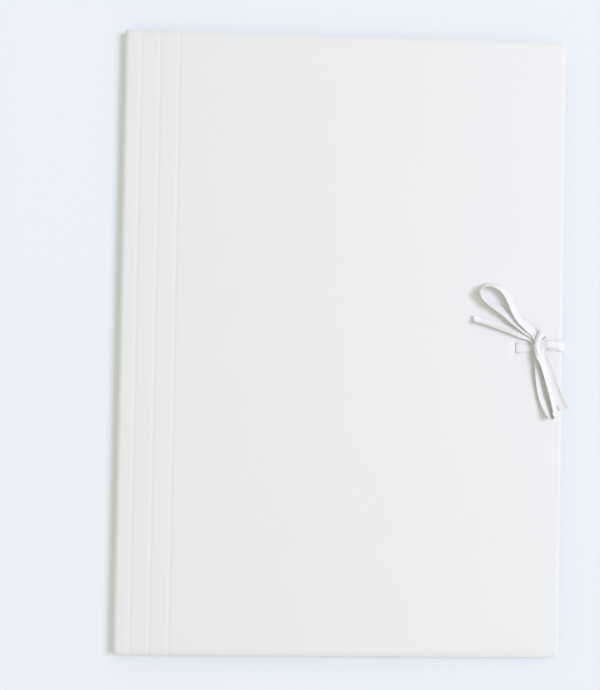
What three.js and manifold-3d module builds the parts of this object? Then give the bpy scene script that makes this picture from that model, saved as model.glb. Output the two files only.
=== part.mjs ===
// Tied card folder: one folded sheet of white card, closed by two narrow ribbons in a bow.
// Millimetres, +Z up. The spine is at -X, the fore-edge at +X, the long side along Y.
// The origin is at the centre of the back cover's underside.
import * as THREE from 'three';
import { mergeVertices } from 'three/addons/utils/BufferGeometryUtils.js';
import Module from 'manifold-3d';

const wasm = await Module();
wasm.setup();

// Card
const coverWidth = 230;
const coverHeight = 320;
const cardThickness = 0.5;
const spineHeight = 5.4;
const foreEdgeHeight = 4.8;
const frontCoverSetback = 0.5;
const scoreOffsets = [8.7, 18.5, 28.5];
const scoreWidth = 3.2;
const scoreDepth = 0.3;
const scoreFacets = 8;
const spineFacets = 16;
const coverFacets = 10;

// Ribbon
const ribbonWidth = 5.0;
const ribbonThickness = 0.3;
const clearance = 0.3;
const slitFromForeEdge = 24.8;
const slitOffCentre = -0.3;
const knotFromForeEdge = 14.3;
const knotOffCentre = 3.0;
const knotReach = 9;
const knotGather = 0.72;
const insideGlueRun = 11.5;
const sectionsPerRow = 2;

const spineX = -coverWidth / 2;
const foreEdgeX = coverWidth / 2;
const frontEdgeX = foreEdgeX - frontCoverSetback;
const spineRadius = (spineHeight - cardThickness) / 2;
const lastScoreX = spineX + Math.max(...scoreOffsets) + scoreWidth;
const slitX = foreEdgeX - slitFromForeEdge;

const cardMaterial = new THREE.MeshStandardMaterial({ color: 0xeeeff1, roughness: 0.78, metalness: 0 });
const frontTieMaterial = new THREE.MeshStandardMaterial({ color: 0xf4f3fa, roughness: 0.45, metalness: 0 });
const backTieMaterial = new THREE.MeshStandardMaterial({ color: 0xf4f3fa, roughness: 0.45, metalness: 0 });

// Height of the front cover's outer face, level to the last scored line and then curving down to the fore-edge
function coverTop(x) {
  const across = THREE.MathUtils.clamp((x - lastScoreX) / (foreEdgeX - lastScoreX), 0, 1);
  return spineHeight - (spineHeight - foreEdgeHeight) * across ** 2;
}

// Depth of the pressed groove of a scored line at x
function scoreDip(x) {
  let dip = 0;
  for (const offset of scoreOffsets) {
    const across = Math.abs(x - spineX - offset) / (scoreWidth / 2);
    if (across < 1) dip += scoreDepth * (0.5 + 0.5 * Math.cos(Math.PI * across));
  }
  return dip;
}

// Middle line of the card's section, from the back cover's fore-edge round the spine to the front one's
function cardMiddleLine() {
  const middle = cardThickness / 2;
  const line = [new THREE.Vector2(foreEdgeX, middle)];
  for (let i = 0; i <= spineFacets; i++) {
    const turn = -Math.PI / 2 - (Math.PI * i) / spineFacets;
    const x = spineX + middle + spineRadius + spineRadius * Math.cos(turn);
    line.push(new THREE.Vector2(x, spineHeight / 2 + spineRadius * Math.sin(turn)));
  }
  for (const offset of scoreOffsets) {
    for (let i = 0; i <= scoreFacets; i++) {
      const x = spineX + offset + scoreWidth * (i / scoreFacets - 0.5);
      line.push(new THREE.Vector2(x, coverTop(x) - middle - scoreDip(x)));
    }
  }
  for (let i = 0; i <= coverFacets; i++) {
    const x = THREE.MathUtils.lerp(lastScoreX, frontEdgeX, i / coverFacets);
    line.push(new THREE.Vector2(x, coverTop(x) - middle));
  }
  return line;
}

// Section of the card: the middle line offset by half the thickness to both sides
function cardSection() {
  const line = cardMiddleLine();
  const outer = [];
  const inner = [];
  line.forEach((point, i) => {
    const before = line[Math.max(i - 1, 0)];
    const after = line[Math.min(i + 1, line.length - 1)];
    const along = after.clone().sub(before).normalize();
    const side = new THREE.Vector2(-along.y, along.x).multiplyScalar(cardThickness / 2);
    outer.push(point.clone().add(side));
    inner.push(point.clone().sub(side));
  });
  return new THREE.Shape([...outer, ...inner.reverse()]);
}

function toSolid(geometry) {
  const plain = geometry.clone();
  plain.deleteAttribute('normal');
  plain.deleteAttribute('uv');
  const merged = mergeVertices(plain, 1e-5);
  const vertProperties = new Float32Array(merged.attributes.position.array);
  const triVerts = new Uint32Array(merged.index.array);
  return new wasm.Manifold(new wasm.Mesh({ numProp: 3, vertProperties, triVerts }));
}

function toGeometry(solid) {
  const mesh = solid.getMesh();
  const geometry = new THREE.BufferGeometry();
  geometry.setAttribute('position', new THREE.BufferAttribute(mesh.vertProperties, 3));
  geometry.setIndex(new THREE.BufferAttribute(mesh.triVerts, 1));
  geometry.computeVertexNormals();
  return geometry;
}

// Folded card, with the slit that the front tie comes out of
function folderCard() {
  const sheet = new THREE.ExtrudeGeometry(cardSection(), { depth: coverHeight, bevelEnabled: false });
  sheet.rotateX(Math.PI / 2);
  sheet.translate(0, coverHeight / 2, 0);
  const slitWidth = ribbonThickness + 2 * clearance;
  const slitLength = ribbonWidth + 2 * clearance;
  const slit = new THREE.BoxGeometry(slitWidth, slitLength, 4 * cardThickness);
  slit.translate(slitX, slitOffCentre, coverTop(slitX) - cardThickness / 2);
  return toGeometry(toSolid(sheet).subtract(toSolid(slit)));
}

// The ties' routes. Each row is a point of the ribbon's middle line and the way its width points:
// x and y from the knot, height above the front cover, then bearing and lift of the width in degrees.
const knotX = foreEdgeX - knotFromForeEdge;
const underCover = -cardThickness - clearance - ribbonThickness / 2;
const throughCover = -cardThickness / 2;
const onBackCover = cardThickness + clearance + ribbonThickness / 2 - foreEdgeHeight;
const slitFromKnot = slitX - knotX;
const slitLine = slitOffCentre - knotOffCentre;
const frontEdgeFromKnot = frontEdgeX - knotX;

const frontTieRoute = [
  // Inside the front cover, up through the slit and along the cover
  [slitFromKnot - insideGlueRun, slitLine, underCover, 90, 0],
  [slitFromKnot - 1.2, slitLine, underCover, 90, 0],
  [slitFromKnot - 0.1, slitLine, throughCover - 0.48, 90, 0],
  [slitFromKnot, slitLine, throughCover, 90, 0],
  [slitFromKnot + 0.1, slitLine, throughCover + 0.48, 90, 0],
  [slitFromKnot + 1.3, slitLine, 0.5, 90, 0],
  [-3.5, -3.2, 0.45, 93, 0],
  // Under the knot, up its right side and over the top
  [-0.9, -2.1, 0.45, 110, 0],
  [1.4, 0.2, 0.45, 128, 0],
  [2.9, 2.8, 0.8, 134, 0],
  [3.6, 4.1, 1.8, 132, 0],
  [3.3, 4.6, 3.0, 127, 0],
  [2.2, 4.1, 3.7, 128, 0],
  [0.9, 2.7, 3.9, 145, 0],
  [0.0, 0.8, 3.9, 162, 0],
  [-0.4, -1.4, 3.85, 179, 2],
  [-0.1, -3.7, 3.75, 194, 6],
  [0.9, -6.2, 3.7, 203, 16],
  // Upper ply of the lower loop
  [2.7, -9.8, 3.6, 201, 32],
  [4.4, -14.8, 3.45, 198, 50],
  [6.3, -20.8, 3.4, 198, 55],
  [8.1, -27.2, 3.3, 198, 57],
  [9.7, -33.0, 3.1, 198, 57],
  [10.4, -36.6, 2.9, 198, 55],
  [9.9, -38.9, 2.75, 198, 52],
  [8.5, -39.3, 2.5, 198, 47],
  // Lower ply, back to the knot
  [7.0, -37.2, 2.0, 198, 37],
  [5.4, -33.2, 1.35, 199, 22],
  [3.9, -28.8, 1.15, 196, 16],
  [2.8, -24.0, 1.15, 192, 16],
  [2.0, -19.0, 1.3, 190, 22],
  [1.5, -14.2, 1.4, 191, 25],
  [1.1, -9.5, 1.0, 192, 14],
  [0.6, -5.2, 1.05, 193, 4],
  [-0.4, -1.4, 1.1, 205, 0],
  [-2.3, 1.4, 1.1, 230, 0],
  // Left tail
  [-5.3, 3.2, 1.15, 248, 8],
  [-11.3, 5.2, 1.5, 253, 26],
  [-18.0, 7.2, 1.85, 254, 36],
  [-24.5, 9.0, 2.05, 254, 42],
  [-29.6, 10.3, 2.2, 255, 44],
  [-32.9, 11.1, 2.7, 256, 42],
];

const backTieRoute = [
  // Inside the back cover, out and up round the fore-edge
  [frontEdgeFromKnot - insideGlueRun, -2.4, onBackCover, 90, 0],
  [frontEdgeFromKnot - 5, -2.4, onBackCover, 90, 0],
  [frontEdgeFromKnot - 1.2, -2.4, onBackCover + 0.1, 90, 0],
  [frontEdgeFromKnot + 1.0, -2.4, onBackCover + 0.9, 90, 0],
  [frontEdgeFromKnot + 1.6, -2.4, -1.4, 90, 0],
  [frontEdgeFromKnot + 0.9, -2.4, 0.35, 90, 0],
  [frontEdgeFromKnot - 1.0, -2.4, 0.6, 90, 0],
  [10.8, -2.2, 0.5, 88, 0],
  [6.9, -1.8, 0.75, 82, 0],
  // Through the knot
  [4.2, -1.6, 1.2, 72, 0],
  [1.8, -0.4, 1.7, 58, 0],
  [-0.8, 2.2, 1.85, 48, 0],
  [-3.9, 4.8, 1.95, 47, -8],
  // Left side of the upper loop, round its end and back along the right side
  [-8.0, 7.9, 2.0, 48, -18],
  [-12.3, 10.9, 2.05, 50, -26],
  [-17.0, 14.6, 2.15, 50, -34],
  [-22.0, 17.6, 2.3, 50, -42],
  [-26.4, 20.2, 2.5, 50, -53],
  [-29.2, 23.0, 2.6, 50, -60],
  [-29.9, 26.4, 2.7, 49, -62],
  [-27.6, 28.8, 2.75, 47, -62],
  [-23.8, 29.1, 2.8, 45, -60],
  [-19.9, 27.9, 2.7, 43, -56],
  [-16.6, 25.0, 2.5, 42, -51],
  [-14.1, 20.6, 2.45, 41, -47],
  [-11.9, 15.8, 2.5, 40, -43],
  [-9.0, 11.4, 2.75, 40, -37],
  [-5.1, 7.8, 2.8, 40, -25],
  [-2.0, 4.7, 2.6, 38, -8],
  // Through the knot again
  [0.4, 0.8, 2.5, 30, 0],
  [2.2, -2.4, 2.3, 24, 0],
  // Right tail
  [3.0, -5.2, 2.05, 24, 0],
  [4.0, -8.8, 1.65, 25, 0],
  [6.5, -14.0, 1.05, 25, 2],
  [8.3, -18.6, 0.75, 24, 3],
  [9.8, -22.8, 0.6, 24, 4],
  [12.0, -28.4, 0.7, 25, 5],
  [15.2, -34.8, 1.1, 26, 8],
];

// Middle line of a ribbon that keeps its own width direction, and is gathered narrower in the knot
class RibbonLine extends THREE.CatmullRomCurve3 {
  constructor(route) {
    const places = [];
    const widths = [];
    for (const [x, y, height, bearing, lift] of route) {
      const partX = knotX + x;
      places.push(new THREE.Vector3(partX, knotOffCentre + y, coverTop(partX) + height));
      const level = Math.cos(THREE.MathUtils.degToRad(lift));
      const turn = THREE.MathUtils.degToRad(bearing);
      const rise = Math.sin(THREE.MathUtils.degToRad(lift));
      widths.push(new THREE.Vector3(Math.cos(turn) * level, Math.sin(turn) * level, rise));
    }
    super(places);
    this.widthLine = new THREE.CatmullRomCurve3(widths);
  }

  // The sections follow the route's rows, which lie closer where the ribbon bends more
  getUtoTmapping(u) {
    return u;
  }

  gather(place) {
    const fromKnot = Math.hypot(place.x - knotX, place.y - knotOffCentre);
    const open = THREE.MathUtils.smoothstep(fromKnot, knotReach / 3, knotReach);
    return place.z > coverTop(place.x) ? knotGather + (1 - knotGather) * open : 1;
  }

  computeFrenetFrames(steps) {
    const frames = { tangents: [], normals: [], binormals: [] };
    for (let i = 0; i <= steps; i++) {
      const t = i / steps;
      const tangent = this.getTangent(t);
      const width = this.widthLine.getPoint(t);
      width.addScaledVector(tangent, -width.dot(tangent)).normalize();
      const face = new THREE.Vector3().crossVectors(tangent, width);
      frames.tangents.push(tangent);
      frames.normals.push(width.multiplyScalar(this.gather(this.getPoint(t))));
      frames.binormals.push(face);
    }
    return frames;
  }
}

// A ribbon: its flat section drawn along its line
function ribbon(route, material) {
  const halfWidth = ribbonWidth / 2;
  const halfThickness = ribbonThickness / 2;
  const section = new THREE.Shape([
    new THREE.Vector2(-halfWidth, -halfThickness),
    new THREE.Vector2(halfWidth, -halfThickness),
    new THREE.Vector2(halfWidth, halfThickness),
    new THREE.Vector2(-halfWidth, halfThickness),
  ]);
  const steps = sectionsPerRow * (route.length - 1);
  const geometry = new THREE.ExtrudeGeometry(section, { steps, extrudePath: new RibbonLine(route) });
  return new THREE.Mesh(geometry, material);
}

const folder = new THREE.Group();

const card = new THREE.Mesh(folderCard(), cardMaterial);
card.name = 'folder_card';
folder.add(card);

const frontTie = ribbon(frontTieRoute, frontTieMaterial);
frontTie.name = 'front_tie';
folder.add(frontTie);

const backTie = ribbon(backTieRoute, backTieMaterial);
backTie.name = 'back_tie';
folder.add(backTie);

export default folder;
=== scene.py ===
"""A flat folder of folded white card, tied shut at the fore-edge with two narrow ribbons in a bow."""
import math

import bpy
from mathutils import Matrix, Vector, noise


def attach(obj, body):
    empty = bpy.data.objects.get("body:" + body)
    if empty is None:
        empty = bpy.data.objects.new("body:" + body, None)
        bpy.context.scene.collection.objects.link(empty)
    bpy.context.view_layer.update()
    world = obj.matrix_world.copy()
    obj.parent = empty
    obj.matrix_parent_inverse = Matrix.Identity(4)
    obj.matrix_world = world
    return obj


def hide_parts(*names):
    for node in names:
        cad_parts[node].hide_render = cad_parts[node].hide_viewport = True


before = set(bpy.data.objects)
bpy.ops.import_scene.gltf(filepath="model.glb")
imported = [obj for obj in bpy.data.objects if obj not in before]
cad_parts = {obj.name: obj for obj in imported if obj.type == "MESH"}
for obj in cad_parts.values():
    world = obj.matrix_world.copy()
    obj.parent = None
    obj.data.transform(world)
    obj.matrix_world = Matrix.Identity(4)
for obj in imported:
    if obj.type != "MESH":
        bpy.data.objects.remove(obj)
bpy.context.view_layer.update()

MM = 0.001

# Card, in millimetres
COVER_WIDTH = 230.0
COVER_LENGTH = 320.0
CARD = 0.5
SPINE_HEIGHT = 5.4
FORE_EDGE_HEIGHT = 4.8
FRONT_SETBACK = 0.5
SCORES = (8.7, 18.5, 28.5)
SCORE_WIDTH = 3.2
SCORE_DEPTH = 0.15

# Ribbon, in millimetres
RIBBON = 5.0
RIBBON_THICK = 0.22
SELVEDGE = 0.09
CAD_RIBBON_THICK = 0.3
CLEARANCE = 0.3
SLIT_FROM_FORE_EDGE = 24.8
SLIT_Y = -0.3
KNOT_FROM_FORE_EDGE = 14.3
KNOT_Y = 3.0
KNOT_REACH = 9.0
KNOT_GATHER = 0.72
INSIDE_RUN = 11.5

SPINE_X = -COVER_WIDTH / 2
FORE_EDGE_X = COVER_WIDTH / 2
FRONT_EDGE_X = FORE_EDGE_X - FRONT_SETBACK
LAST_SCORE_X = SPINE_X + SCORES[-1] + SCORE_WIDTH
SLIT_X = FORE_EDGE_X - SLIT_FROM_FORE_EDGE
KNOT_X = FORE_EDGE_X - KNOT_FROM_FORE_EDGE


def smoothstep(value, low, high):
    t = min(max((value - low) / (high - low), 0.0), 1.0)
    return t * t * (3 - 2 * t)


def cover_top(x):
    """Height of the front cover's outer face, without its scored lines."""
    across = min(max((x - LAST_SCORE_X) / (FORE_EDGE_X - LAST_SCORE_X), 0.0), 1.0)
    return SPINE_HEIGHT - (SPINE_HEIGHT - FORE_EDGE_HEIGHT) * across**2


# Camera: above the folder and a little to its left, fitted to the four corners of the front cover
PHOTO_WIDTH = 600
FOCAL_PIXELS = 1000.0
SENSOR = 36.0
CAMERA_AT = Vector((-40.48, -11.39, 519.98)) * MM
CAMERA_RIGHT = Vector((0.99919, 0.01727, 0.03647))
CAMERA_UP = Vector((-0.018, 0.99964, 0.01989))


def make_camera():
    data = bpy.data.cameras.new("camera")
    data.sensor_fit = "HORIZONTAL"
    data.sensor_width = SENSOR
    data.lens = SENSOR * FOCAL_PIXELS / PHOTO_WIDTH
    data.clip_start = 0.01
    camera = bpy.data.objects.new("camera", data)
    bpy.context.scene.collection.objects.link(camera)
    right = CAMERA_RIGHT.normalized()
    up = (CAMERA_UP - right * right.dot(CAMERA_UP)).normalized()
    back = right.cross(up)
    turn = Matrix((right, up, back)).transposed()
    camera.matrix_world = Matrix.Translation(CAMERA_AT) @ turn.to_4x4()
    bpy.context.scene.camera = camera


make_camera()

# The ties' routes, in millimetres and degrees. Each row is a point of the ribbon's middle line and
# the way its width points: x and y from the knot, height above the front cover, bearing and lift.
UNDER_COVER = -CARD - CLEARANCE - CAD_RIBBON_THICK / 2
THROUGH_COVER = -CARD / 2
ON_BACK_COVER = CARD + CLEARANCE + CAD_RIBBON_THICK / 2 - FORE_EDGE_HEIGHT
SLIT_FROM_KNOT = SLIT_X - KNOT_X
SLIT_LINE = SLIT_Y - KNOT_Y
EDGE_FROM_KNOT = FRONT_EDGE_X - KNOT_X
EDGE_LINE = -2.4

FRONT_TIE_ROUTE = [
    # Inside the front cover, up through the slit and along the cover
    (SLIT_FROM_KNOT - INSIDE_RUN, SLIT_LINE, UNDER_COVER, 90, 0),
    (SLIT_FROM_KNOT - 1.2, SLIT_LINE, UNDER_COVER, 90, 0),
    (SLIT_FROM_KNOT - 0.1, SLIT_LINE, THROUGH_COVER - 0.48, 90, 0),
    (SLIT_FROM_KNOT, SLIT_LINE, THROUGH_COVER, 90, 0),
    (SLIT_FROM_KNOT + 0.1, SLIT_LINE, THROUGH_COVER + 0.48, 90, 0),
    (SLIT_FROM_KNOT + 1.3, SLIT_LINE, 0.5, 90, 0),
    (-3.5, -3.2, 0.45, 93, 0),
    # Under the knot, up its right side and over the top
    (-0.9, -2.1, 0.45, 110, 0),
    (1.4, 0.2, 0.45, 128, 0),
    (2.9, 2.8, 0.8, 134, 0),
    (3.6, 4.1, 1.8, 132, 0),
    (3.3, 4.6, 3.0, 127, 0),
    (2.2, 4.1, 3.7, 128, 0),
    (0.9, 2.7, 3.9, 145, 0),
    (0.0, 0.8, 3.9, 162, 0),
    (-0.4, -1.4, 3.85, 179, 2),
    (-0.1, -3.7, 3.75, 194, 6),
    (0.9, -6.2, 3.7, 203, 16),
    # Upper ply of the lower loop
    (2.7, -9.8, 3.6, 201, 32),
    (4.4, -14.8, 3.45, 198, 50),
    (6.3, -20.8, 3.4, 198, 55),
    (8.1, -27.2, 3.3, 198, 57),
    (9.7, -33.0, 3.1, 198, 57),
    (10.4, -36.6, 2.9, 198, 55),
    (9.9, -38.9, 2.75, 198, 52),
    (8.5, -39.3, 2.5, 198, 47),
    # Lower ply, back to the knot
    (7.0, -37.2, 2.0, 198, 37),
    (5.4, -33.2, 1.35, 199, 22),
    (3.9, -28.8, 1.15, 196, 16),
    (2.8, -24.0, 1.15, 192, 16),
    (2.0, -19.0, 1.3, 190, 22),
    (1.5, -14.2, 1.4, 191, 25),
    (1.1, -9.5, 1.0, 192, 14),
    (0.6, -5.2, 1.05, 193, 4),
    (-0.4, -1.4, 1.1, 205, 0),
    (-2.3, 1.4, 1.1, 230, 0),
    # Left tail
    (-5.3, 3.2, 1.15, 248, 8),
    (-11.3, 5.2, 1.5, 253, 26),
    (-18.0, 7.2, 1.85, 254, 36),
    (-24.5, 9.0, 2.05, 254, 42),
    (-29.6, 10.3, 2.2, 255, 44),
    (-32.9, 11.1, 2.7, 256, 42),
]

BACK_TIE_ROUTE = [
    # Inside the back cover, out and up round the fore-edge
    (EDGE_FROM_KNOT - INSIDE_RUN, EDGE_LINE, ON_BACK_COVER, 90, 0),
    (EDGE_FROM_KNOT - 5, EDGE_LINE, ON_BACK_COVER, 90, 0),
    (EDGE_FROM_KNOT - 1.2, EDGE_LINE, ON_BACK_COVER + 0.1, 90, 0),
    (EDGE_FROM_KNOT + 1.0, EDGE_LINE, ON_BACK_COVER + 0.9, 90, 0),
    (EDGE_FROM_KNOT + 1.6, EDGE_LINE, -1.4, 90, 0),
    (EDGE_FROM_KNOT + 0.9, EDGE_LINE, 0.35, 90, 0),
    (EDGE_FROM_KNOT - 1.0, EDGE_LINE, 0.6, 90, 0),
    (10.8, -2.2, 0.5, 88, 0),
    (6.9, -1.8, 0.75, 82, 0),
    # Through the knot
    (4.2, -1.6, 1.2, 72, 0),
    (1.8, -0.4, 1.7, 58, 0),
    (-0.8, 2.2, 1.85, 48, 0),
    (-3.9, 4.8, 1.95, 47, -8),
    # Left side of the upper loop, round its end and back along the right side
    (-8.0, 7.9, 2.0, 48, -18),
    (-12.3, 10.9, 2.05, 50, -26),
    (-17.0, 14.6, 2.15, 50, -34),
    (-22.0, 17.6, 2.3, 50, -42),
    (-26.4, 20.2, 2.5, 50, -53),
    (-29.2, 23.0, 2.6, 50, -60),
    (-29.9, 26.4, 2.7, 49, -62),
    (-27.6, 28.8, 2.75, 47, -62),
    (-23.8, 29.1, 2.8, 45, -60),
    (-19.9, 27.9, 2.7, 43, -56),
    (-16.6, 25.0, 2.5, 42, -51),
    (-14.1, 20.6, 2.45, 41, -47),
    (-11.9, 15.8, 2.5, 40, -43),
    (-9.0, 11.4, 2.75, 40, -37),
    (-5.1, 7.8, 2.8, 40, -25),
    (-2.0, 4.7, 2.6, 38, -8),
    # Through the knot again
    (0.4, 0.8, 2.5, 30, 0),
    (2.2, -2.4, 2.3, 24, 0),
    # Right tail
    (3.0, -5.2, 2.05, 24, 0),
    (4.0, -8.8, 1.65, 25, 0),
    (6.5, -14.0, 1.05, 25, 2),
    (8.3, -18.6, 0.75, 24, 3),
    (9.8, -22.8, 0.6, 24, 4),
    (12.0, -28.4, 0.7, 25, 5),
    (15.2, -34.8, 1.1, 26, 8),
]


SHORTEST_SPAN = 1e-4


def spline_point(points, at):
    """Point of a centripetal Catmull-Rom curve through the points, at counting the points from 0."""
    last = len(points) - 1
    index = min(int(at), last - 1)
    t = at - index
    p1 = points[index]
    p2 = points[index + 1]
    p0 = points[index - 1] if index > 0 else 2 * p1 - p2
    p3 = points[index + 2] if index + 2 <= last else 2 * p2 - p1
    d0 = max((p1 - p0).length, SHORTEST_SPAN) ** 0.5
    d1 = max((p2 - p1).length, SHORTEST_SPAN) ** 0.5
    d2 = max((p3 - p2).length, SHORTEST_SPAN) ** 0.5
    m1 = ((p1 - p0) / d0 - (p2 - p0) / (d0 + d1) + (p2 - p1) / d1) * d1
    m2 = ((p2 - p1) / d1 - (p3 - p1) / (d1 + d2) + (p3 - p2) / d2) * d1
    a = 2 * p1 - 2 * p2 + m1 + m2
    b = -3 * p1 + 3 * p2 - 2 * m1 - m2
    return ((a * t + b) * t + m1) * t + p1


FRAME_STEP = 0.01
MARKS_PER_ROW = 24


class Route:
    """A ribbon's middle line, its width direction and how far it has run, in millimetres."""

    def __init__(self, rows):
        self.places = []
        self.widths = []
        for x, y, height, bearing, lift in rows:
            part_x = KNOT_X + x
            self.places.append(Vector((part_x, KNOT_Y + y, cover_top(part_x) + height)))
            level = math.cos(math.radians(lift))
            turn = math.radians(bearing)
            rise = math.sin(math.radians(lift))
            self.widths.append(Vector((math.cos(turn) * level, math.sin(turn) * level, rise)))

    def point(self, at):
        return spline_point(self.places, at)

    def frame_at(self, at):
        """Place, direction along, width direction and face direction at a count of rows."""
        last = len(self.places) - 1
        ahead = self.point(min(at + FRAME_STEP, last))
        behind = self.point(max(at - FRAME_STEP, 0))
        along = (ahead - behind).normalized()
        width = spline_point(self.widths, at)
        width = (width - along * width.dot(along)).normalized()
        return self.point(at), along, width, along.cross(width)

    def stations(self, spacing):
        """Counts of rows at an even spacing along the line, with the distance run."""
        last = len(self.places) - 1
        marks = [(0.0, 0.0)]
        run = 0.0
        before = self.point(0)
        for i in range(1, last * MARKS_PER_ROW + 1):
            here = self.point(i / MARKS_PER_ROW)
            run += (here - before).length
            before = here
            marks.append((i / MARKS_PER_ROW, run))
        count = max(int(round(run / spacing)), 2)
        stations = []
        k = 0
        for i in range(count + 1):
            target = run * i / count
            while k < len(marks) - 2 and marks[k + 1][1] < target:
                k += 1
            (a, run_a), (b, run_b) = marks[k], marks[k + 1]
            part = (target - run_a) / max(run_b - run_a, 1e-9)
            stations.append((a + (b - a) * min(max(part, 0.0), 1.0), target))
        return stations


def knot_gather(place):
    """Share of the full width that a ribbon keeps at a place: the knot gathers it."""
    if place.z < cover_top(place.x):
        return 1.0
    from_knot = math.hypot(place.x - KNOT_X, place.y - KNOT_Y)
    return KNOT_GATHER + (1 - KNOT_GATHER) * smoothstep(from_knot, KNOT_REACH / 3, KNOT_REACH)


def keyed(keys, at):
    """Value at a count of rows, eased between (row, value) pairs."""
    if at <= keys[0][0]:
        return keys[0][1]
    for (a, value_a), (b, value_b) in zip(keys, keys[1:]):
        if at <= b:
            return value_a + (value_b - value_a) * smoothstep(at, a, b)
    return keys[-1][1]


# Ribbon surfaces: mesh size, pleats in the knot, unevenness and cut ends, in millimetres
RIBBON_SPACING = 0.35
RIBBON_ACROSS = 20
CALM_ROWS = (5, 7)
PLEAT_DEPTH = 0.8
PLEAT_HALF_TURNS = 2.5
PLEAT_SHIFT = 1.3
DRIFT = 0.10
DRIFT_ALONG = 0.11
DRIFT_ACROSS = 0.9
CUT_END = 1.6
RAGGED = 0.16
RAGGED_ACROSS = 9.0
SELVEDGE_AT = 0.9
SELVEDGE_SPREAD = 0.07
SELVEDGE_ROUNDING = 0.35


def curled_profile(width_side, far_side, gather):
    """Places across a ribbon as (side, across, away), each half turned by its own curl in degrees."""
    half = RIBBON_ACROSS // 2
    step = RIBBON / RIBBON_ACROSS * gather
    profile = [(0.0, 0.0, 0.0)]
    for sign, curl in ((1, width_side), (-1, far_side)):
        across = 0.0
        away = 0.0
        points = []
        for i in range(half):
            turn = math.radians(curl) * smoothstep((i + 0.5) / half, 0.0, 0.5)
            across += step * math.cos(turn)
            away += step * math.sin(turn)
            points.append((sign * (i + 1) / half, sign * across, away))
        profile = profile + points if sign > 0 else points[::-1] + profile
    middle = sum(away for _, _, away in profile) / len(profile)
    return [(side, across, away - middle) for side, across, away in profile]


def ribbon_surface(route, shape, seed):
    """Rows of points across the ribbon's middle surface, with the distance along and across."""
    rows = []
    stations = route.stations(RIBBON_SPACING)
    length = stations[-1][1]
    for at, run in stations:
        place, along, width, face = route.frame_at(at)
        place = place + Vector((0, 0, keyed(shape["rise"], at)))
        gather = knot_gather(place) * keyed(shape["gather"], at)
        profile = curled_profile(keyed(shape["width_side"], at), keyed(shape["far_side"], at), gather)
        pleat = PLEAT_DEPTH * (1 - gather) * keyed(shape["pleat"], at)
        calm = smoothstep(at, *CALM_ROWS)
        near_end = smoothstep(run, length - CUT_END, length)
        row = []
        for side, across, away in profile:
            drift = noise.noise(Vector((run * DRIFT_ALONG, side * DRIFT_ACROSS, seed))) * calm
            wave = math.cos(PLEAT_HALF_TURNS * math.pi * side + PLEAT_SHIFT * seed)
            fold = pleat * calm * wave * (0.8 + 0.4 * drift)
            ragged = RAGGED * noise.noise(Vector((side * RAGGED_ACROSS, 0.5, seed)))
            slant = near_end * (shape["cut_slant"] * side + ragged)
            point = place + width * across + face * (away + fold + DRIFT * drift) + along * slant
            row.append((point, run, side * RIBBON / 2))
        rows.append(row)
    return rows


def new_object(name, vertices, faces, material):
    mesh = bpy.data.meshes.new(name)
    mesh.from_pydata([tuple(v * MM) for v in vertices], [], faces)
    mesh.validate()
    mesh.materials.append(material)
    for polygon in mesh.polygons:
        polygon.use_smooth = True
    obj = bpy.data.objects.new(name, mesh)
    bpy.context.scene.collection.objects.link(obj)
    return obj


def skin_faces(count, across, hole=None):
    """Faces of a closed sheet: its two skins, then its edges. A hole is one (row, column) cell."""
    offset = count * across
    faces = []
    for i in range(count - 1):
        for j in range(across - 1):
            a = i * across + j
            b = a + 1
            c = b + across
            d = a + across
            if (i, j) == hole:
                for p, q in ((a, b), (b, c), (c, d), (d, a)):
                    faces.append((p, q, offset + q, offset + p))
            else:
                faces.append((a, b, c, d))
                faces.append((offset + a, offset + d, offset + c, offset + b))
        left = i * across
        right = left + across - 1
        faces.append((left, left + across, offset + left + across, offset + left))
        faces.append((right, offset + right, offset + right + across, right + across))
    end = (count - 1) * across
    for j in range(across - 1):
        faces.append((j, offset + j, offset + j + 1, j + 1))
        faces.append((end + j, end + j + 1, offset + end + j + 1, offset + end + j))
    return faces


def ribbon_object(name, rows, material):
    """A closed ribbon: its upper and lower faces, thicker at the selvedges, and its cut ends."""
    count = len(rows)
    across = len(rows[0])
    upper = []
    lower = []
    for i in range(count):
        before = rows[max(i - 1, 0)]
        after = rows[min(i + 1, count - 1)]
        for j in range(across):
            along = after[j][0] - before[j][0]
            sideways = rows[i][min(j + 1, across - 1)][0] - rows[i][max(j - 1, 0)][0]
            normal = along.cross(sideways).normalized()
            side = abs(2 * j / (across - 1) - 1)
            bead = SELVEDGE * math.exp(-(((side - SELVEDGE_AT) / SELVEDGE_SPREAD) ** 2))
            rounding = SELVEDGE_ROUNDING if side == 1 else 1.0
            half = (RIBBON_THICK / 2 + bead) * rounding
            upper.append(rows[i][j][0] + normal * half)
            lower.append(rows[i][j][0] - normal * half)
    faces = [(a, d, c, b) for a, b, c, d in skin_faces(count, across)]
    obj = new_object(name, upper + lower, faces, material)
    uv_layer = obj.data.uv_layers.new(name="ribbon")
    for loop in obj.data.loops:
        index = loop.vertex_index % len(upper)
        _, run, side = rows[index // across][index % across]
        uv_layer.data[loop.index].uv = (side * MM, run * MM)
    return obj


# Materials
def set_input(node, values):
    for name, value in values.items():
        node.inputs[name].default_value = value


def new_group(name, inputs, outputs):
    """A shader group. Each input is (name, type, value), and each output is (name, type)."""
    group = bpy.data.node_groups.new(name, "ShaderNodeTree")
    for title, kind, value in inputs:
        socket = group.interface.new_socket(name=title, in_out="INPUT", socket_type=kind)
        socket.default_value = value
    for title, kind in outputs:
        group.interface.new_socket(name=title, in_out="OUTPUT", socket_type=kind)
    return group


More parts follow.
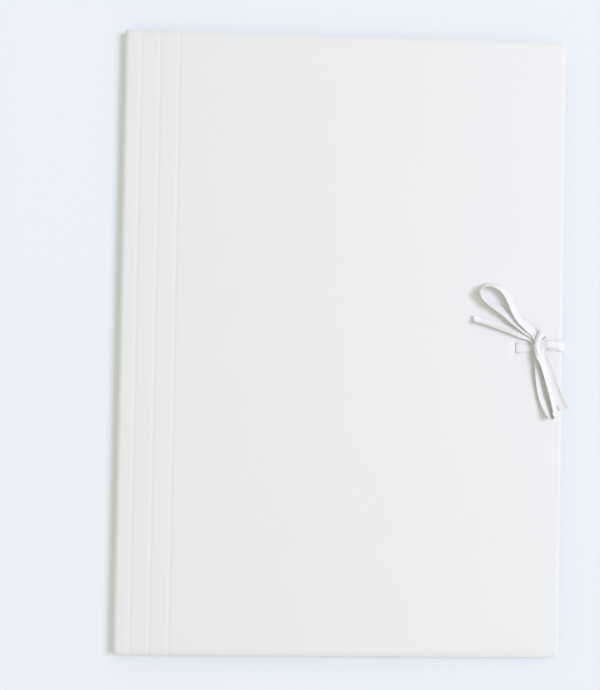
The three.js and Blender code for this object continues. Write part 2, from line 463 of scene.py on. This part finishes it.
class Wiring:
    """Adds nodes to a tree and links them."""

    def __init__(self, tree):
        self.tree = tree

    def add(self, kind, values=None, **settings):
        node = self.tree.nodes.new(kind)
        for key, value in settings.items():
            setattr(node, key, value)
        set_input(node, values or {})
        return node

    def link(self, source, target):
        self.tree.links.new(source, target)


FLOAT = "NodeSocketFloat"
COLOUR = "NodeSocketColor"


def make_mottle_group():
    """Soft uneven patches of a base colour, as in pulp-filled card or dyed cloth."""
    group = new_group(
        "soft_mottle",
        [("Colour", COLOUR, (1, 1, 1, 1)), ("Size", FLOAT, 30.0), ("Amount", FLOAT, 0.02)],
        [("Colour", COLOUR), ("Mask", FLOAT)],
    )
    w = Wiring(group)
    given = w.add("NodeGroupInput")
    result = w.add("NodeGroupOutput")
    place = w.add("ShaderNodeTexCoord")
    patches = w.add("ShaderNodeTexNoise", {"Detail": 4.0, "Roughness": 0.55})
    w.link(place.outputs["Object"], patches.inputs["Vector"])
    w.link(given.outputs["Size"], patches.inputs["Scale"])
    centred = w.add("ShaderNodeMath", {1: 0.5}, operation="SUBTRACT")
    w.link(patches.outputs["Fac"], centred.inputs[0])
    scaled = w.add("ShaderNodeMath", operation="MULTIPLY")
    w.link(centred.outputs[0], scaled.inputs[0])
    w.link(given.outputs["Amount"], scaled.inputs[1])
    level = w.add("ShaderNodeMath", {1: 1.0}, operation="ADD")
    w.link(scaled.outputs[0], level.inputs[0])
    tint = w.add("ShaderNodeVectorMath", operation="SCALE")
    w.link(given.outputs["Colour"], tint.inputs[0])
    w.link(level.outputs[0], tint.inputs["Scale"])
    w.link(tint.outputs[0], result.inputs["Colour"])
    w.link(patches.outputs["Fac"], result.inputs["Mask"])
    return group


FELT_SHARE = 1.6


def make_fibre_group():
    """Height of pressed paper fibres: a fine tooth over broader felt marks."""
    group = new_group(
        "card_fibre",
        [("Tooth", FLOAT, 2600.0), ("Felt", FLOAT, 420.0)],
        [("Height", FLOAT)],
    )
    w = Wiring(group)
    given = w.add("NodeGroupInput")
    result = w.add("NodeGroupOutput")
    place = w.add("ShaderNodeTexCoord")
    tooth = w.add("ShaderNodeTexNoise", {"Detail": 3.0, "Roughness": 0.6})
    felt = w.add("ShaderNodeTexNoise", {"Detail": 5.0, "Roughness": 0.5})
    for texture, size in ((tooth, "Tooth"), (felt, "Felt")):
        w.link(place.outputs["Object"], texture.inputs["Vector"])
        w.link(given.outputs[size], texture.inputs["Scale"])
    both = w.add("ShaderNodeMath", {1: FELT_SHARE}, operation="MULTIPLY_ADD")
    w.link(felt.outputs["Fac"], both.inputs[0])
    w.link(tooth.outputs["Fac"], both.inputs[2])
    w.link(both.outputs[0], result.inputs["Height"])
    return group


def make_weave_group():
    """Height and shade of a fine plain weave, laid along a ribbon by its own coordinates."""
    group = new_group(
        "ribbon_weave",
        [("Warp", FLOAT, 0.00022), ("Weft", FLOAT, 0.00030)],
        [("Height", FLOAT), ("Shade", FLOAT)],
    )
    w = Wiring(group)
    given = w.add("NodeGroupInput")
    result = w.add("NodeGroupOutput")
    laid = w.add("ShaderNodeUVMap", uv_map="ribbon")
    axes = w.add("ShaderNodeSeparateXYZ")
    w.link(laid.outputs["UV"], axes.inputs["Vector"])
    waves = []
    for axis, pitch in (("X", "Warp"), ("Y", "Weft")):
        turns = w.add("ShaderNodeMath", operation="DIVIDE")
        w.link(axes.outputs[axis], turns.inputs[0])
        w.link(given.outputs[pitch], turns.inputs[1])
        angle = w.add("ShaderNodeMath", {1: 2 * math.pi}, operation="MULTIPLY")
        w.link(turns.outputs[0], angle.inputs[0])
        wave = w.add("ShaderNodeMath", operation="SINE")
        w.link(angle.outputs[0], wave.inputs[0])
        waves.append(wave)
    crossing = w.add("ShaderNodeMath", operation="MULTIPLY")
    w.link(waves[0].outputs[0], crossing.inputs[0])
    w.link(waves[1].outputs[0], crossing.inputs[1])
    w.link(crossing.outputs[0], result.inputs["Height"])
    shade = w.add("ShaderNodeMath", {1: 0.5, 2: 0.5}, operation="MULTIPLY_ADD")
    w.link(crossing.outputs[0], shade.inputs[0])
    w.link(shade.outputs[0], result.inputs["Shade"])
    return group


MOTTLE = make_mottle_group()
FIBRE = make_fibre_group()
WEAVE = make_weave_group()


def new_material(name):
    material = bpy.data.materials.new(name)
    material.use_nodes = True
    material.node_tree.nodes.clear()
    w = Wiring(material.node_tree)
    output = w.add("ShaderNodeOutputMaterial")
    shader = w.add("ShaderNodeBsdfPrincipled")
    w.link(shader.outputs["BSDF"], output.inputs["Surface"])
    return material, w, shader


CARD_COLOUR = (0.828, 0.834, 0.838, 1)
CARD_TOOTH = 0.012 * MM
RIBBON_COLOUR = (0.85, 0.848, 0.856, 1)
THREAD_HEIGHT = 0.02 * MM


def make_card_material():
    material, w, shader = new_material("white_card")
    set_input(shader, {"Specular IOR Level": 0.35})
    mottle = w.add("ShaderNodeGroup", node_tree=MOTTLE)
    set_input(mottle, {"Colour": CARD_COLOUR, "Size": 45.0, "Amount": 0.02})
    w.link(mottle.outputs["Colour"], shader.inputs["Base Color"])
    rough = w.add("ShaderNodeMapRange", {"To Min": 0.55, "To Max": 0.65})
    w.link(mottle.outputs["Mask"], rough.inputs["Value"])
    w.link(rough.outputs["Result"], shader.inputs["Roughness"])
    fibre = w.add("ShaderNodeGroup", node_tree=FIBRE)
    bump = w.add("ShaderNodeBump", {"Strength": 0.5, "Distance": CARD_TOOTH})
    w.link(fibre.outputs["Height"], bump.inputs["Height"])
    w.link(bump.outputs["Normal"], shader.inputs["Normal"])
    return material


def make_ribbon_material():
    material, w, shader = new_material("white_ribbon")
    set_input(shader, {"Specular IOR Level": 0.45, "Sheen Weight": 0.12, "Sheen Roughness": 0.4})
    mottle = w.add("ShaderNodeGroup", node_tree=MOTTLE)
    set_input(mottle, {"Colour": RIBBON_COLOUR, "Size": 260.0, "Amount": 0.03})
    weave = w.add("ShaderNodeGroup", node_tree=WEAVE)
    thread = w.add("ShaderNodeMix", {"Factor": 0.06}, data_type="RGBA", blend_type="MULTIPLY")
    w.link(mottle.outputs["Colour"], thread.inputs["A"])
    w.link(weave.outputs["Shade"], thread.inputs["B"])
    w.link(thread.outputs["Result"], shader.inputs["Base Color"])
    rough = w.add("ShaderNodeMapRange", {"To Min": 0.36, "To Max": 0.5})
    w.link(weave.outputs["Shade"], rough.inputs["Value"])
    w.link(rough.outputs["Result"], shader.inputs["Roughness"])
    bump = w.add("ShaderNodeBump", {"Strength": 0.35, "Distance": THREAD_HEIGHT})
    w.link(weave.outputs["Height"], bump.inputs["Height"])
    w.link(bump.outputs["Normal"], shader.inputs["Normal"])
    return material


CARD_WHITE = make_card_material()
RIBBON_WHITE = make_ribbon_material()


# How each ribbon curls, gathers and rises, as (row of its route, value) pairs. The curl of each half is
# in degrees towards the face direction, and width_side is the half that the width direction points to.
FRONT_TIE_SHAPE = {
    "width_side": [
        (11, 0), (12, 35), (14, 58), (16, 48), (18, 16), (20, 40), (23, 42), (25, 0), (27, -8), (31, -10),
        (33, 0), (36, 0), (38, 22), (40, 36), (41, 34),
    ],
    "far_side": [
        (9, 0), (11, 24), (13, 12), (16, 14), (18, 8), (22, 8), (24, 0), (27, -8), (31, -10), (33, 0),
        (36, 0), (38, 22), (40, 36), (41, 34),
    ],
    "pleat": [
        (6, 0.5), (8, 0.5), (10, 0.3), (16, 0.3), (18, 1.0), (30, 1.0), (32, 0.35), (35, 0.35), (37, 1.0),
    ],
    "gather": [(0, 1.0), (1, 1.0), (2, 0.84), (5, 0.84), (7, 0.92), (8, 1.0)],
    "rise": [(18, 0), (20, -0.5), (23, -0.5), (25, 0), (36, 0), (38, -0.6), (40, -0.75), (41, -0.4)],
    "cut_slant": -0.5,
}
BACK_TIE_SHAPE = {
    "width_side": [
        (5.5, 0), (7, 4), (10, 0), (15, 0), (17, -18), (19, -20), (21, 0), (22, -4), (27, -8), (30, -15),
        (31, 4), (33, 18), (36, 24), (37, 18),
    ],
    "far_side": [
        (5.5, 4), (7, 38), (8, 34), (10, 0), (15, -6), (17, -24), (19, -26), (21, -10), (22, -24),
        (25, -22), (28, -12), (31, -4), (37, 0),
    ],
    "pleat": [(0, 1.0)],
    "gather": [(0, 1.0)],
    "rise": [(5.2, 0), (6.6, 0.5), (8, 0.65), (9.5, 0.0)],
    "cut_slant": 0.6,
}


def make_tie(name, node, rows, shape, seed):
    route = Route(rows)
    surface = ribbon_surface(route, shape, seed)
    obj = ribbon_object(name, surface, RIBBON_WHITE)
    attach(obj, "root")
    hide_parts(node)


make_tie("front_ribbon", "front_tie", FRONT_TIE_ROUTE, FRONT_TIE_SHAPE, 0.7)
make_tie("back_ribbon", "back_tie", BACK_TIE_ROUTE, BACK_TIE_SHAPE, 4.2)


# Folder card, in millimetres, and how many strips its parts are built from
SLIT_LEFT = 0.22
SLIT_RIGHT = 0.24
SLIT_HALF_LENGTH = 2.4
FORE_EDGE_ROLL = 2.2
FORE_EDGE_DROP = 0.2
BACK_COVER_STRIPS = 16
SPINE_STRIPS = 28
SCORE_STRIPS = 16
FRONT_COVER_STRIPS = 40
EDGE_STRIPS = 8
HALF_LENGTH_STRIPS = 44
BEVEL = (0.0, 0.04, 0.12)
BEVEL_THIN = 0.6
BROAD_WAVE = 0.22
FINE_WAVE = 0.05


def score_dip(x):
    """Depth of the scored lines at a distance across the cover."""
    dip = 0.0
    for offset in SCORES:
        across = abs(x - SPINE_X - offset) / (SCORE_WIDTH / 2)
        if across < 1:
            dip += SCORE_DEPTH * (0.5 + 0.5 * math.cos(math.pi * across))
    return dip


def spread(low, high, count):
    return [low + (high - low) * i / count for i in range(count + 1)]


def card_stations():
    """Stations along the card's middle line as (x, z, how much of the front cover's wave it takes)."""
    middle = CARD / 2
    radius = (SPINE_HEIGHT - CARD) / 2
    fold_x = SPINE_X + middle + radius
    stations = [(x, middle, 0.0) for x in spread(FORE_EDGE_X, fold_x, BACK_COVER_STRIPS)[:-1]]
    for angle in spread(-90, -270, SPINE_STRIPS):
        turn = math.radians(angle)
        x = fold_x + radius * math.cos(turn)
        z = SPINE_HEIGHT / 2 + radius * math.sin(turn)
        stations.append((x, z, 0.0))
    marks = []
    for offset in SCORES:
        score_x = SPINE_X + offset
        marks += spread(score_x - SCORE_WIDTH / 2, score_x + SCORE_WIDTH / 2, SCORE_STRIPS)
    roll_x = FRONT_EDGE_X - FORE_EDGE_ROLL
    marks += spread(LAST_SCORE_X, SLIT_X - SLIT_LEFT, FRONT_COVER_STRIPS)
    marks += spread(SLIT_X + SLIT_RIGHT, roll_x, EDGE_STRIPS)
    marks += spread(roll_x, FRONT_EDGE_X, EDGE_STRIPS)[1:]
    for x in marks:
        roll = max(x - roll_x, 0) / FORE_EDGE_ROLL
        z = cover_top(x) - middle - score_dip(x) - FORE_EDGE_DROP * roll**2
        stations.append((x, z, smoothstep(x, SPINE_X + 4, SPINE_X + 60)))
    return stations


def length_stations():
    """Stations along the folder's length, with one strip as long as the slit."""
    half = COVER_LENGTH / 2
    low = [-half + b for b in BEVEL]
    high = [half - b for b in reversed(BEVEL)]
    below = spread(low[-1], SLIT_Y - SLIT_HALF_LENGTH, HALF_LENGTH_STRIPS)[1:]
    above = spread(SLIT_Y + SLIT_HALF_LENGTH, high[0], HALF_LENGTH_STRIPS)[:-1]
    return low + below + above + high


def cover_wave(x, y):
    """Slight unevenness of the front cover, eased out near the tie."""
    broad = noise.noise(Vector((x * 0.011, y * 0.009, 3.1)))
    fine = noise.noise(Vector((x * 0.035, y * 0.03, 8.4)))
    near_tie = smoothstep(math.hypot(x - KNOT_X, y - KNOT_Y), 30, 80)
    return (BROAD_WAVE * broad + FINE_WAVE * fine) * (0.25 + 0.75 * near_tie)


def make_card():
    """The folded sheet, one closed skin with the slit cut through the front cover."""
    section = card_stations()
    lengths = length_stations()
    count = len(section)
    outer = []
    inner = []
    for y in lengths:
        thin = BEVEL_THIN + (1 - BEVEL_THIN) * smoothstep(COVER_LENGTH / 2 - abs(y), 0.0, BEVEL[-1])
        for i, (x, z, wave) in enumerate(section):
            before = section[max(i - 1, 0)]
            after = section[min(i + 1, count - 1)]
            along = Vector((after[0] - before[0], 0, after[1] - before[1])).normalized()
            side = Vector((-along.z, 0, along.x))
            edge = BEVEL_THIN if i in (0, count - 1) else 1.0
            half = CARD / 2 * thin * edge
            place = Vector((x, y, z + wave * cover_wave(x, y)))
            outer.append(place + side * half)
            inner.append(place - side * half)
    slit_row = next(k for k, y in enumerate(lengths) if abs(y - SLIT_Y + SLIT_HALF_LENGTH) < 1e-6)
    slit_column = next(i for i, s in enumerate(section) if abs(s[0] - SLIT_X + SLIT_LEFT) < 1e-6)
    faces = skin_faces(len(lengths), count, (slit_row, slit_column))
    obj = new_object("folder_sheet", outer + inner, faces, CARD_WHITE)
    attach(obj, "root")
    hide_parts("folder_card")


make_card()


# Floor, light and background
# The floor is paler away from the lamp and darker under it, so that it looks even
FLOOR_HALF = 1.6
FLOOR_DROP = 0.0001
FLOOR_TONES = [
    (-0.2, (0.885, 0.935, 1.0, 1)),
    (0.15, (0.81, 0.86, 0.902, 1)),
    (1.1, (0.56, 0.60, 0.64, 1)),
]
KEY_AT = (1.36, 0.22, 1.52)
KEY_SIZE = 1.0
KEY_WATTS = 26.4
KEY_COLOUR = (0.74, 0.76, 1.0)
FILL_COLOUR = (1.0, 0.985, 0.83, 1)
FILL_STRENGTH = 0.675
BACKDROP_COLOUR = (0.82, 0.885, 0.96, 1)


def make_floor():
    mesh = bpy.data.meshes.new("floor")
    corners = [(x * FLOOR_HALF, y * FLOOR_HALF, 0) for x, y in ((-1, -1), (1, -1), (1, 1), (-1, 1))]
    mesh.from_pydata(corners, [], [(0, 1, 2, 3)])
    material, w, shader = new_material("pale_floor")
    set_input(shader, {"Roughness": 0.9, "Specular IOR Level": 0.0})
    place = w.add("ShaderNodeTexCoord")
    axes = w.add("ShaderNodeSeparateXYZ")
    w.link(place.outputs["Object"], axes.inputs["Vector"])
    low = FLOOR_TONES[0][0]
    high = FLOOR_TONES[-1][0]
    evened = w.add("ShaderNodeMapRange", {"From Min": low, "From Max": high})
    w.link(axes.outputs["X"], evened.inputs["Value"])
    tones = w.add("ShaderNodeValToRGB")
    while len(tones.color_ramp.elements) < len(FLOOR_TONES):
        tones.color_ramp.elements.new(0.5)
    for element, (x, colour) in zip(tones.color_ramp.elements, FLOOR_TONES):
        element.position = (x - low) / (high - low)
        element.color = colour
    w.link(evened.outputs["Result"], tones.inputs["Fac"])
    w.link(tones.outputs["Color"], shader.inputs["Base Color"])
    mesh.materials.append(material)
    floor = bpy.data.objects.new("floor", mesh)
    floor.location.z = -FLOOR_DROP
    bpy.context.scene.collection.objects.link(floor)


def make_key_light():
    data = bpy.data.lights.new("key", "AREA")
    data.shape = "DISK"
    data.size = KEY_SIZE
    data.energy = KEY_WATTS
    data.color = KEY_COLOUR
    light = bpy.data.objects.new("key", data)
    light.location = KEY_AT
    light.rotation_euler = (-Vector(KEY_AT)).to_track_quat("-Z", "Y").to_euler()
    bpy.context.scene.collection.objects.link(light)


def make_world():
    """A warm weak light from all round, which the camera and reflections see as a pale backdrop."""
    world = bpy.data.worlds.new("world")
    world.use_nodes = True
    world.node_tree.nodes.clear()
    w = Wiring(world.node_tree)
    output = w.add("ShaderNodeOutputWorld")
    fill = w.add("ShaderNodeBackground", {"Color": FILL_COLOUR, "Strength": FILL_STRENGTH})
    backdrop = w.add("ShaderNodeBackground", {"Color": BACKDROP_COLOUR, "Strength": 1.0})
    rays = w.add("ShaderNodeLightPath")
    seen = w.add("ShaderNodeMath", operation="MAXIMUM")
    w.link(rays.outputs["Is Camera Ray"], seen.inputs[0])
    w.link(rays.outputs["Is Glossy Ray"], seen.inputs[1])
    through = w.add("ShaderNodeMath", operation="MAXIMUM")
    w.link(seen.outputs[0], through.inputs[0])
    w.link(rays.outputs["Is Transmission Ray"], through.inputs[1])
    mix = w.add("ShaderNodeMixShader")
    w.link(through.outputs[0], mix.inputs["Fac"])
    w.link(fill.outputs["Background"], mix.inputs[1])
    w.link(backdrop.outputs["Background"], mix.inputs[2])
    w.link(mix.outputs["Shader"], output.inputs["Surface"])
    bpy.context.scene.world = world


make_floor()
make_key_light()
make_world()
bpy.context.scene.view_settings.view_transform = "Standard"
